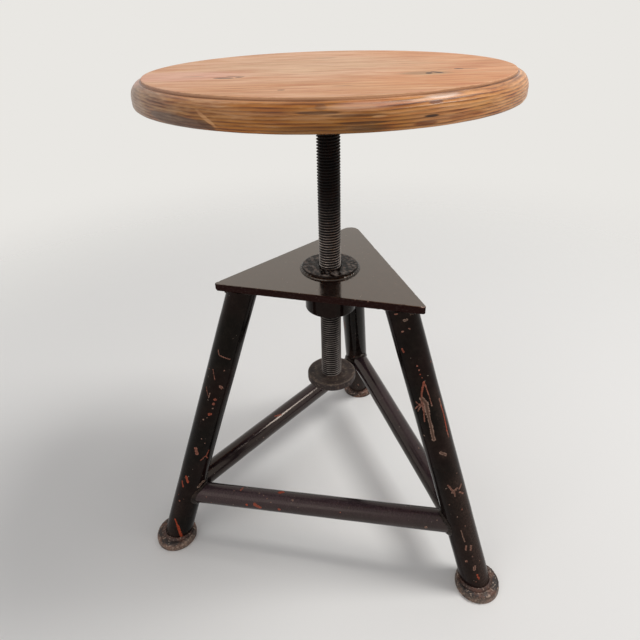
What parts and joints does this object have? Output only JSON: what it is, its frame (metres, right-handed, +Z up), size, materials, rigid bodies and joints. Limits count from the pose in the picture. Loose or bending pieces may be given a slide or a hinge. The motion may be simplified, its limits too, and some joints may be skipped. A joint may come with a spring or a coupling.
{
  "type": "machinist stool",
  "caption": "Three-legged workshop stool: round wooden seat on a threaded spindle that screws up and down in a triangular steel plate on splayed tube legs with stretchers.",
  "frame": {"origin": "on the floor, on the spindle's axis", "axes": "+Z up along the spindle's axis; -Y towards the top plate's front edge; +X to the right of someone who faces that edge"},
  "size_m": [0.424, 0.4144, 0.548],
  "materials": {
    "seat_wood": "worn varnish on softwood",
    "black_paint": "worn gloss enamel",
    "leg_paint": "chipped gloss enamel over red primer",
    "stretcher_paint": "scuffed satin enamel",
    "bush_paint": "worn gloss enamel on turned steel",
    "weld_paint": "painted weld bead",
    "spindle_steel": "worn oiled thread",
    "worn_steel": "browned turned steel",
    "foot_steel": "worn paint and rust on steel",
    "zinc_screw": "dull plated steel"
  },
  "bodies": {
    "frame": {"threaded_bush": "bush_paint", "bush_welds": "weld_paint", "top_plate": "black_paint", "right_leg": "leg_paint", "right_leg_top_weld": "weld_paint", "right_leg_stretcher_weld": "weld_paint", "right_leg_foot_weld": "weld_paint", "right_foot": "foot_steel", "back_leg": "leg_paint", "back_leg_top_weld": "weld_paint", "back_leg_stretcher_weld": "weld_paint", "back_leg_foot_weld": "weld_paint", "back_foot": "foot_steel", "left_leg": "leg_paint", "left_leg_top_weld": "weld_paint", "left_leg_stretcher_weld": "weld_paint", "left_leg_foot_weld": "weld_paint", "left_foot": "foot_steel", "front_stretcher": "stretcher_paint", "right_stretcher": "stretcher_paint", "left_stretcher": "stretcher_paint"},
    "stop": {"stop_disc": "worn_steel"},
    "seat": {"seat_board": "seat_wood", "seat_plate": "black_paint", "seat_screws": "zinc_screw", "seat_plate_weld": "weld_paint", "spindle": "spindle_steel", "stop_washer": "zinc_screw", "stop_screw": "zinc_screw"}
  },
  "joints": [
    {"name": "seat_rise", "type": "slide", "parent": "frame", "child": "stop", "axis": [0, 0, 1], "range_m": [-0.165, 0.092]},
    {"name": "seat_turn", "type": "hinge", "parent": "stop", "child": "seat", "pos_m": [0, 0, 0], "axis": [0, 0, 1], "range_deg": [-19801, 11041]}
  ],
  "couplings": [
    {"joint": "seat_turn", "follows": "seat_rise", "rad_per_m": 2094.4}
  ]
}
